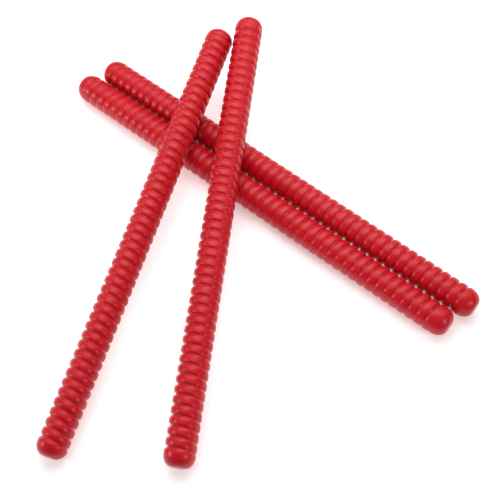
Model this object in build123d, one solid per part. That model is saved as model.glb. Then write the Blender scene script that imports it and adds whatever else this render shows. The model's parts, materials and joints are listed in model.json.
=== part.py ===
from build123d import *
import math
import os

# Four ribbed rhythm sticks, laid out as a crossed stack.
#
# Two sticks lie side by side on the surface. The other two stand with one end on the
# surface and lean on the front one. Each stick is one turned hardwood dowel, ridged along
# its whole length, with a blunt rounded nose at both ends.
#
# Row frame: +X runs along the front bottom stick, towards its near end, +Z is up, and the
# origin is the middle of the layout's box, on the surface. Millimetres.

# One stick
STICK_LENGTH = 304.8
STICK_DIAMETER = 19.05
NOSE_LENGTH = 6.5
NOSE_FLAT_DIAMETER = 8.0

# Its ridges: round crests that run tangentially into round grooves
GROOVE_COUNT = 47
GROOVE_PITCH = 6.15
GROOVE_DEPTH = 1.4
GROOVE_RADIUS = 0.8

# The layout: distances from the middle of the front bottom stick, angles about +Z
BOTTOM_GAP = 1.0
REAR_STICK_OFFSET = 6.0
LEAN_GAP = 0.3
TOP_LEFT = {"crossing": -60.2, "reach": 222.4, "yaw": -70.9}
TOP_RIGHT = {"crossing": -20.9, "reach": 194.7, "yaw": -60.0}

STICK_RADIUS = STICK_DIAMETER / 2
NOSE_FLAT_RADIUS = NOSE_FLAT_DIAMETER / 2
NOSE_CORNER = STICK_RADIUS - NOSE_FLAT_RADIUS
LAND_LENGTH = (STICK_LENGTH - GROOVE_COUNT * GROOVE_PITCH) / 2

HALF_PITCH = GROOVE_PITCH / 2
FLANK_ANGLE = 2 * math.atan(GROOVE_DEPTH / HALF_PITCH)
CREST_RADIUS = HALF_PITCH / math.sin(FLANK_ANGLE) - GROOVE_RADIUS


def crest_point(crest, side, angle):
    """The outline's point on a round crest, at an angle from its top and on one side of it."""
    along = crest + side * CREST_RADIUS * math.sin(angle)
    return STICK_RADIUS - CREST_RADIUS * (1 - math.cos(angle)), along


def add_groove(crest):
    """One groove of the outline, from the crest at this place to the next one along."""
    next_crest = crest + GROOVE_PITCH
    bottom = (STICK_RADIUS - GROOVE_DEPTH, crest + HALF_PITCH)
    down = [crest_point(crest, 1, FLANK_ANGLE * share) for share in (0, 0.5, 1)]
    up = [crest_point(next_crest, -1, FLANK_ANGLE * share) for share in (1, 0.5, 0)]
    ThreePointArc(*down)
    ThreePointArc(down[-1], bottom, up[0])
    ThreePointArc(*up)


def stick():
    """One whole stick along Z, from the near tip at the origin to the far tip below it."""
    first_crest = LAND_LENGTH - STICK_LENGTH
    with BuildPart() as turned:
        with BuildSketch(Plane.XZ):
            with BuildLine():
                Line((0, 0), (NOSE_FLAT_RADIUS, 0))
                EllipticalCenterArc(
                    (NOSE_FLAT_RADIUS, -NOSE_LENGTH), NOSE_CORNER, NOSE_LENGTH, arc_size=90
                )
                Line((STICK_RADIUS, -NOSE_LENGTH), (STICK_RADIUS, -LAND_LENGTH))
                for groove in range(GROOVE_COUNT):
                    add_groove(first_crest + groove * GROOVE_PITCH)
                Line((STICK_RADIUS, first_crest), (STICK_RADIUS, NOSE_LENGTH - STICK_LENGTH))
                EllipticalCenterArc(
                    (NOSE_FLAT_RADIUS, NOSE_LENGTH - STICK_LENGTH),
                    NOSE_CORNER,
                    NOSE_LENGTH,
                    start_angle=270,
                    arc_size=90,
                )
                Polyline((NOSE_FLAT_RADIUS, -STICK_LENGTH), (0, -STICK_LENGTH), (0, 0))
            make_face()
        revolve(axis=Axis.Z)
    return turned.part


def tip_height(slope):
    """Height of the near tip's centre when the nose rests on the surface at this slope."""
    nose_reach = math.hypot(NOSE_LENGTH * math.sin(slope), NOSE_CORNER * math.cos(slope))
    return nose_reach + NOSE_FLAT_RADIUS * math.cos(slope) - NOSE_LENGTH * math.sin(slope)


def lean_slope(yaw, reach):
    """Slope of a stick that rests its near nose on the surface and leans on the front one."""
    slope = 0.0
    for _ in range(12):
        across = math.sin(yaw) * math.cos(slope)
        tilt = math.hypot(across, math.sin(slope)) / abs(across)
        crossing_height = STICK_RADIUS + (STICK_DIAMETER + LEAN_GAP) * tilt
        slope = math.asin((crossing_height - tip_height(slope)) / reach)
    return slope


def placed_stick(near_tip, yaw, slope):
    """The stick with its near tip at a point, heading along yaw and down by slope."""
    heading = Vector(
        math.cos(yaw) * math.cos(slope),
        math.sin(yaw) * math.cos(slope),
        -math.sin(slope),
    )
    sideways = Vector(-math.sin(yaw), math.cos(yaw), 0)
    rest_plane = Plane(origin=near_tip, x_dir=sideways, z_dir=heading)
    return STICK.moved(rest_plane.location)


def bottom_stick(offset_x, offset_y):
    """A stick that lies flat on the surface along X."""
    near_tip = Vector(STICK_LENGTH / 2 + offset_x, offset_y, STICK_RADIUS)
    return placed_stick(near_tip, 0, 0)


def top_stick(crossing, reach, yaw):
    """A stick that crosses the front bottom one, reach millimetres back from its near tip."""
    heading = math.radians(yaw)
    slope = lean_slope(heading, reach)
    run = reach * math.cos(slope)
    near_tip = Vector(
        crossing + run * math.cos(heading),
        run * math.sin(heading),
        tip_height(slope),
    )
    return placed_stick(near_tip, heading, slope)


def centred(parts):
    """The same parts, moved so that the layout's box is centred on the origin in X and Y."""
    middle = Compound(list(parts.values())).bounding_box().center()
    shift = Location((-middle.X, -middle.Y, 0))
    return {name: part.moved(shift) for name, part in parts.items()}


STICK = stick()

sticks = centred(
    {
        "bottom_stick_front": bottom_stick(0, 0),
        "bottom_stick_rear": bottom_stick(REAR_STICK_OFFSET, STICK_DIAMETER + BOTTOM_GAP),
        "top_stick_left": top_stick(**TOP_LEFT),
        "top_stick_right": top_stick(**TOP_RIGHT),
    }
)

os.makedirs("parts", exist_ok=True)
for name, part in sticks.items():
    part.label = name
    export_step(part, f"parts/{name}.step")
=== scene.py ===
import json
import math

import bpy
import numpy as np
from mathutils import Matrix, Vector


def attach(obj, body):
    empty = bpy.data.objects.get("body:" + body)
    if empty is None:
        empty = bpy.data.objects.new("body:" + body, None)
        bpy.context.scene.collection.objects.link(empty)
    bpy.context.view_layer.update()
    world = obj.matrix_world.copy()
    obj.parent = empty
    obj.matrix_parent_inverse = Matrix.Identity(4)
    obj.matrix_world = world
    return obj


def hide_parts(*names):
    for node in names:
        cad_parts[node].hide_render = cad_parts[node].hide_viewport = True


# Four red ribbed rhythm sticks: two lie side by side, and two lean on the front one.
# Each is a blunt dowel with one ridge that winds round it from end to end.

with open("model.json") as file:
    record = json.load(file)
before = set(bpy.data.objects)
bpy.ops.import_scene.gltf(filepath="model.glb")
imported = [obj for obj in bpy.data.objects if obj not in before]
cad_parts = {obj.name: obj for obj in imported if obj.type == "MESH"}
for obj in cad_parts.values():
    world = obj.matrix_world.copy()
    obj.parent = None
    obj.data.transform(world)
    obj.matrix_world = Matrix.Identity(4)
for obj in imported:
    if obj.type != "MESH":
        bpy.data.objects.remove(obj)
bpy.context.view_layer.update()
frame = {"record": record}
MOUNTS = {mount["name"]: mount for mount in frame["record"]["mounts"]}

# A stick is worked out in millimetres, and its mesh is in metres
MM = 0.001

# The stick, as the CAD model has it
LENGTH = MOUNTS["front_stick_body"]["dims"]["length_mm"]
RADIUS = MOUNTS["front_stick_body"]["dims"]["r_mm"]
RIDGE_PITCH = 6.15

# The groove between the ridge's turns: its half width, and the length over which it fades in
# at each end. The crest between is domed, by a share of the groove's depth.
GROOVE_HALF_WIDTH = 0.95
FADE_LENGTH = 3.2
DOME_SHARE = 0.1

# How far round the stick the groove stays shallow, to each side of the shallowest place
SHALLOW_SPREAD = math.radians(80.0)

# How uneven the ridge is: the depth wanders by shares of itself and the crest by a share of
# the pitch, each over its own number of turns. The random values sit on a row of knots, and
# FIRST_KNOT is the one at turn 0.
SLOW_DEPTH_WANDER = 0.07
SLOW_DEPTH_TURNS = 0.6
FAST_DEPTH_WANDER = 0.05
FAST_DEPTH_TURNS = 0.17
CREST_WANDER = 0.035
CREST_TURNS = 0.8
KNOTS = 512
FIRST_KNOT = 100.0

# Mesh density
AROUND = 96
RINGS_PER_PITCH = 18
FLAT_RINGS = 5
SHOULDER_RINGS = 16

# What differs from stick to stick. Lengths are in millimetres and angles in degrees, round
# the stick from sideways to up:
# - body and mount: the body it moves with, and how the names of its mounts start
# - roll: where the ridge starts
# - flat and nose: the width of the flat on each tip, and the length of its rounding
# - near_start and far_start: how far from each tip the groove starts
# - depth: the groove's full depth
# - shallow and shallow_side: the share of its depth that the groove loses on one side, as
#   if the cutter had run a little off the dowel's centre, and where that side is
# - seed: for the stick's random values
STICKS = {
    "bottom_stick_front": {
        "body": "bottom_front", "mount": "front_stick", "roll": 216.0,
        "flat": 7.0, "nose": 8.6, "near_start": 7.6, "far_start": 6.6,
        "depth": 1.3, "shallow": 0.62, "shallow_side": 150.0, "seed": 1,
    },
    "bottom_stick_rear": {
        "body": "bottom_rear", "mount": "rear_stick", "roll": 317.0,
        "flat": 7.0, "nose": 8.6, "near_start": 8.2, "far_start": 6.8,
        "depth": 1.55, "shallow": 0.6, "shallow_side": 110.0, "seed": 2,
    },
    "top_stick_left": {
        "body": "top_left", "mount": "top_left_stick", "roll": 87.0,
        "flat": 6.0, "nose": 7.2, "near_start": 5.8, "far_start": 5.0,
        "depth": 1.8, "shallow": 0.4, "shallow_side": 95.0, "seed": 3,
    },
    "top_stick_right": {
        "body": "top_right", "mount": "top_right_stick", "roll": 52.0,
        "flat": 8.0, "nose": 7.6, "near_start": 7.2, "far_start": 5.0,
        "depth": 1.7, "shallow": 0.6, "shallow_side": 50.0, "seed": 4,
    },
}

# Lacquer, in linear colours. Its streaks are stretched along the ridge, and each stick takes
# its blotches from another part of the noise.
THICK_RED = (0.46, 0.003, 0.010, 1.0)
THIN_RED = (0.60, 0.009, 0.019, 1.0)
# Painted shade: the darker red that the groove bottoms go towards, standing in for the shade that
# falls in the groove.
GROOVE_SHADE_RED = (0.34, 0.002, 0.006, 1.0)
STREAK_STRETCH = (11.0, 2.5, 0.7)
SEED_STEP = (0.37, 0.11, 0.73)

# Camera, as a place around its target
VIEW_AZIMUTH = 41.46
VIEW_ELEVATION = 63.4
VIEW_ROLL = -3.75
VIEW_DISTANCE = 0.592
VIEW_TARGET = Vector((0.01977, 0.02433, 0.00955))
LENS = 66.46

# Large softboxes behind and above the sticks light them evenly. The smaller ones, to the left
# and right of the camera, make the highlights.
WORLD_STRENGTH = 0.16
SOFTBOXES = {
    "back": {"azimuth": 225, "elevation": 60, "distance": 0.6, "width": 0.6, "power": 1.9},
    "back_left": {"azimuth": 270, "elevation": 45, "distance": 0.65, "width": 0.7, "power": 0.9},
    "back_right": {"azimuth": 180, "elevation": 45, "distance": 0.65, "width": 0.6, "power": 1.4},
    "overhead": {"azimuth": 225, "elevation": 80, "distance": 0.45, "width": 0.35, "power": 0.52},
    "left": {"azimuth": -44, "elevation": 20, "distance": 0.9, "width": 0.23, "power": 2.1},
    "right": {"azimuth": 92, "elevation": 34, "distance": 0.9, "width": 0.28, "power": 1.6},
}
FLOOR_SIZE = 6.0


# ---------------------------------------------------------------- stick shape

def smooth_step(value):
    """0 below 0, 1 above 1, and a smooth rise between."""
    value = np.clip(value, 0.0, 1.0)
    return value * value * (3.0 - 2.0 * value)


def wander(position, scale, rng):
    """Smooth random values between -1 and 1 along a position, changing over about one scale."""
    knots = rng.uniform(-1.0, 1.0, KNOTS)
    place = position / scale + FIRST_KNOT
    first = np.floor(place).astype(int)
    blend = smooth_step(place - first)
    return knots[first % KNOTS] * (1.0 - blend) + knots[(first + 1) % KNOTS] * blend


def nose_outline(flat, nose):
    """Distance from the tip and radius, from the middle of the flat to the full radius."""
    flat_radius = flat / 2
    radii = np.linspace(0.0, flat_radius, FLAT_RINGS)
    angles = np.linspace(0.0, math.pi / 2, SHOULDER_RINGS + 1)[1:]
    shoulder_along = nose * (1.0 - np.cos(angles))
    shoulder_radii = flat_radius + (RADIUS - flat_radius) * np.sin(angles)
    along = np.concatenate([np.zeros(FLAT_RINGS), shoulder_along])
    return along, np.concatenate([radii, shoulder_radii])


def stick_outline(flat, nose):
    """The plain stick's outline from the near tip to the far one, before the ridge is cut."""
    nose_along, nose_radii = nose_outline(flat, nose)
    straight = LENGTH - 2 * nose
    rings = round(straight / RIDGE_PITCH * RINGS_PER_PITCH)
    middle = nose + straight * np.arange(1, rings) / rings
    along = np.concatenate([nose_along, middle, LENGTH - nose_along[::-1]])
    radii = np.concatenate([nose_radii, np.full(rings - 1, RADIUS), nose_radii[::-1]])
    return along, radii


def groove_share(from_crest):
    """How deep a place is, from its distance to the crest in pitches: 1 is the bottom."""
    from_groove = (0.5 - np.abs(from_crest)) * RIDGE_PITCH
    groove = np.exp(-((from_groove / GROOVE_HALF_WIDTH) ** 2))
    dome = DOME_SHARE * np.sin(math.pi * from_crest) ** 2
    return groove + dome * (1.0 - groove)


def uneven_groove(turns, from_crest, rng):
    """How deep a place is as a share of the groove's depth, on a ridge that is uneven."""
    slow = SLOW_DEPTH_WANDER * wander(turns, SLOW_DEPTH_TURNS, rng)
    fast = FAST_DEPTH_WANDER * wander(turns, FAST_DEPTH_TURNS, rng)
    shift = CREST_WANDER * wander(turns, CREST_TURNS, rng)
    off_crest = np.clip(np.abs(from_crest + shift), 0.0, 0.5)
    return groove_share(off_crest) * (1.0 + slow + fast)


def shallowing(angle, share, side):
    """The share of its depth that the groove loses at an angle: most on the shallow side."""
    from_side = (angle - math.radians(side) + math.pi) % (2 * math.pi) - math.pi
    return share * np.exp(-((from_side / SHALLOW_SPREAD) ** 2))


def stick_surface(look):
    """Rings of points over the stick, and for each point its groove depth and ridge place."""
    rng = np.random.default_rng(look["seed"])
    along, radii = (line[:, None] for line in stick_outline(look["flat"], look["nose"]))
    angle = 2 * math.pi * np.arange(AROUND) / AROUND
    turns = along / RIDGE_PITCH - (angle - math.radians(look["roll"])) / (2 * math.pi)
    from_crest = turns - np.round(turns)
    groove = uneven_groove(turns, from_crest, rng)
    groove = groove * smooth_step((along - look["near_start"]) / FADE_LENGTH)
    groove = groove * smooth_step((LENGTH - along - look["far_start"]) / FADE_LENGTH)
    lost = shallowing(angle, look["shallow"], look["shallow_side"])
    depth = look["depth"] * (1.0 - lost) * groove
    radius = radii - depth * np.minimum(radii / RADIUS, 1.0)
    height = np.repeat(-along, AROUND, axis=1)
    points = np.stack([radius * np.cos(angle), radius * np.sin(angle), height], axis=-1)
    return points, groove, np.stack([from_crest, turns, turns], axis=-1)


def stick_faces(rings):
    """Quads between the rings, and a fan of triangles to a pole at each end."""
    faces = []
    for ring in range(rings - 1):
        here = ring * AROUND
        there = here + AROUND
        for column in range(AROUND):
            following = (column + 1) % AROUND
            faces.append((here + column, there + column, there + following, here + following))
    near_pole = rings * AROUND
    far_pole = near_pole + 1
    last = near_pole - AROUND
    for column in range(AROUND):
        following = (column + 1) % AROUND
        faces.append((near_pole, column, following))
        faces.append((far_pole, last + following, last + column))
    return faces


def add_attribute(mesh, name, kind, field, values):
    """One value or vector for each point of the mesh, for its material to read."""
    attribute = mesh.attributes.new(name, kind, "POINT")
    attribute.data.foreach_set(field, values.astype(np.float32).reshape(-1))


def stick_mesh(name, look):
    """The stick's mesh in its own frame: +Z is towards the near end, whose tip is the origin."""
    points, groove, on_ridge = stick_surface(look)
    rings = slice(1, len(points) - 1)
    poles = [[0.0, 0.0, 0.0], [0.0, 0.0, -LENGTH]]
    faces = stick_faces(len(points) - 2)
    points = np.concatenate([points[rings].reshape(-1, 3), poles]) * MM
    on_ridge = np.concatenate([on_ridge[rings].reshape(-1, 3), on_ridge[[0, -1], 0]])
    groove = np.concatenate([groove[rings].reshape(-1), [0.0, 0.0]])

    mesh = bpy.data.meshes.new(name)
    mesh.from_pydata(points.tolist(), [], faces)
    mesh.validate()
    mesh.shade_smooth()
    add_attribute(mesh, "groove", "FLOAT", "value", groove)
    add_attribute(mesh, "stick_place", "FLOAT_VECTOR", "vector", points)
    add_attribute(mesh, "ridge_place", "FLOAT_VECTOR", "vector", on_ridge)
    return mesh


# ---------------------------------------------------------------- materials

def add_node(tree, kind, inputs, **settings):
    """A new shader node with these settings, and with its inputs set by name or number."""
    node = tree.nodes.new(kind)
    for name, value in settings.items():
        setattr(node, name, value)
    for socket, value in inputs.items():
        node.inputs[socket].default_value = value
    return node


def point_attribute(tree, name):
    """What the mesh says about a point under this name."""
    return add_node(tree, "ShaderNodeAttribute", {}, attribute_name=name)


def changed_vector(tree, vector, operation, amount):
    """A vector with a fixed one added to it or multiplied into it."""
    node = add_node(tree, "ShaderNodeVectorMath", {1: amount}, operation=operation)
    tree.links.new(vector, node.inputs[0])
    return node.outputs["Vector"]


def noise(tree, place, scale, detail, roughness):
    """Noise between 0 and 1 over a place."""
    inputs = {"Scale": scale, "Detail": detail, "Roughness": roughness}
    node = add_node(tree, "ShaderNodeTexNoise", inputs)
    tree.links.new(place, node.inputs["Vector"])
    return node.outputs["Fac"]


def mapped(tree, value, limits):
    """A value moved from one range to another. Limits that aren't given are 0 and 1."""
    node = add_node(tree, "ShaderNodeMapRange", limits)
    tree.links.new(value, node.inputs["Value"])
    return node.outputs["Result"]


def colour_mix(tree, amount, colours):
    """A node that goes from colour A to colour B as amount goes from 0 to 1."""
    node = add_node(tree, "ShaderNodeMix", colours, data_type="RGBA")
    tree.links.new(amount, node.inputs["Factor"])
    return node


def lacquer_colour(tree):
    """Red with streaks along the ridge, and painted shade that darkens it towards the bottom of
    the groove.
    """
    on_ridge = point_attribute(tree, "ridge_place").outputs["Vector"]
    streak_place = changed_vector(tree, on_ridge, "MULTIPLY", STREAK_STRETCH)
    streaks = noise(tree, streak_place, scale=1.0, detail=2.0, roughness=0.6)
    thinness = mapped(tree, streaks, {"From Min": 0.3, "From Max": 0.7})
    streaked = colour_mix(tree, thinness, {"A": THICK_RED, "B": THIN_RED})

    groove = point_attribute(tree, "groove").outputs["Fac"]
    # Painted shade: the red darkens towards the bottom of the groove, as shade there would make
    # it.
    groove_shade_amount = mapped(tree, groove, {"From Min": 0.35, "From Max": 1.0, "To Max": 0.3})
    groove_shaded = colour_mix(tree, groove_shade_amount, {"B": GROOVE_SHADE_RED})
    tree.links.new(streaked.outputs["Result"], groove_shaded.inputs["A"])
    return groove_shaded.outputs["Result"]


def lacquer_material(seed):
    """Glossy red lacquer over turned wood, with a slight orange peel and blotches of gloss."""
    material = bpy.data.materials.new(f"red_lacquer_{seed}")
    material.use_nodes = True
    tree = material.node_tree
    shader = tree.nodes["Principled BSDF"]
    shader.inputs["IOR"].default_value = 1.45
    shader.inputs["Specular IOR Level"].default_value = 0.34
    tree.links.new(lacquer_colour(tree), shader.inputs["Base Color"])

    on_stick = point_attribute(tree, "stick_place").outputs["Vector"]
    place = changed_vector(tree, on_stick, "ADD", [step * seed for step in SEED_STEP])
    blotches = noise(tree, place, scale=260.0, detail=3.0, roughness=0.6)
    gloss = mapped(tree, blotches, {"To Min": 0.26, "To Max": 0.34})
    tree.links.new(gloss, shader.inputs["Roughness"])

    peel = noise(tree, place, scale=900.0, detail=2.0, roughness=0.5)
    bump = add_node(tree, "ShaderNodeBump", {"Strength": 0.15, "Distance": 0.0002})
    tree.links.new(peel, bump.inputs["Height"])
    tree.links.new(bump.outputs["Normal"], shader.inputs["Normal"])
    return material


def floor_material():
    """A matt white floor that glows a little, so that shadows on it stay faint."""
    material = bpy.data.materials.new("pale_floor")
    material.use_nodes = True
    shader = material.node_tree.nodes["Principled BSDF"]
    shader.inputs["Base Color"].default_value = (0.95, 0.95, 0.95, 1.0)
    shader.inputs["Roughness"].default_value = 0.9
    shader.inputs["Emission Color"].default_value = (1.0, 1.0, 1.0, 1.0)
    shader.inputs["Emission Strength"].default_value = 0.35
    return material


# ---------------------------------------------------------------- pieces

def stick_matrix(mount_name):
    """The stick's own frame in the row frame, from the flat at its far end."""
    far_end = MOUNTS[f"{mount_name}_far_end"]
    heading = -Vector(far_end["axis"]).normalized()
    near_tip = Vector(far_end["pos_m"]) + heading * LENGTH * MM
    sideways = Vector((-heading.y, heading.x, 0.0)).normalized()
    upward = heading.cross(sideways)
    place = Matrix((sideways, upward, heading)).transposed().to_4x4()
    place.translation = near_tip
    return place


def make_stick(node, look):
    """One visible stick, which stands for the CAD node and moves with its body."""
    mesh = stick_mesh(f"{node}_visual", look)
    mesh.transform(stick_matrix(look["mount"]))
    piece = bpy.data.objects.new(f"{node}_visual", mesh)
    bpy.context.collection.objects.link(piece)
    mesh.materials.append(lacquer_material(look["seed"]))
    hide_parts(node)
    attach(piece, look["body"])


def make_floor():
    """The surface that the sticks lie on, which isn't part of the object."""
    half = FLOOR_SIZE / 2
    corners = [(-half, -half, 0), (half, -half, 0), (half, half, 0), (-half, half, 0)]
    mesh = bpy.data.meshes.new("floor")
    mesh.from_pydata(corners, [], [(0, 1, 2, 3)])
    mesh.materials.append(floor_material())
    floor = bpy.data.objects.new("floor", mesh)
    bpy.context.collection.objects.link(floor)


# ---------------------------------------------------------------- camera and lights

def direction(azimuth, elevation):
    """The unit vector from the object towards a place at this azimuth and elevation."""
    turn = math.radians(azimuth)
    rise = math.radians(elevation)
    return Vector((
        math.sin(turn) * math.cos(rise),
        -math.cos(turn) * math.cos(rise),
        math.sin(rise),
    ))


def make_camera():
    """The camera, fitted to the photo."""
    data = bpy.data.cameras.new("camera")
    data.lens = LENS
    data.clip_start = 0.01
    camera = bpy.data.objects.new("camera", data)
    bpy.context.collection.objects.link(camera)
    outward = direction(VIEW_AZIMUTH, VIEW_ELEVATION)
    aim = (-outward).to_track_quat("-Z", "Y").to_matrix().to_4x4()
    camera.matrix_world = (
        Matrix.Translation(VIEW_TARGET + outward * VIEW_DISTANCE)
        @ aim
        @ Matrix.Rotation(math.radians(VIEW_ROLL), 4, "Z")
    )
    bpy.context.scene.camera = camera


def make_softbox(name, azimuth, elevation, distance, width, power):
    """A square light that faces the sticks."""
    data = bpy.data.lights.new(name, "AREA")
    data.shape = "SQUARE"
    data.size = width
    data.energy = power
    light = bpy.data.objects.new(name, data)
    bpy.context.collection.objects.link(light)
    outward = direction(azimuth, elevation)
    light.location = VIEW_TARGET + outward * distance
    light.rotation_euler = (-outward).to_track_quat("-Z", "Y").to_euler()


def make_light():
    """The softboxes, and a dim white world."""
    world = bpy.data.worlds.new("studio")
    world.use_nodes = True
    background = world.node_tree.nodes["Background"]
    background.inputs["Color"].default_value = (1.0, 1.0, 1.0, 1.0)
    background.inputs["Strength"].default_value = WORLD_STRENGTH
    bpy.context.scene.world = world
    for name, light in SOFTBOXES.items():
        make_softbox(name, **light)


for node, look in STICKS.items():
    make_stick(node, look)
make_floor()
make_camera()
make_light()
bpy.context.scene.view_settings.view_transform = "Standard"
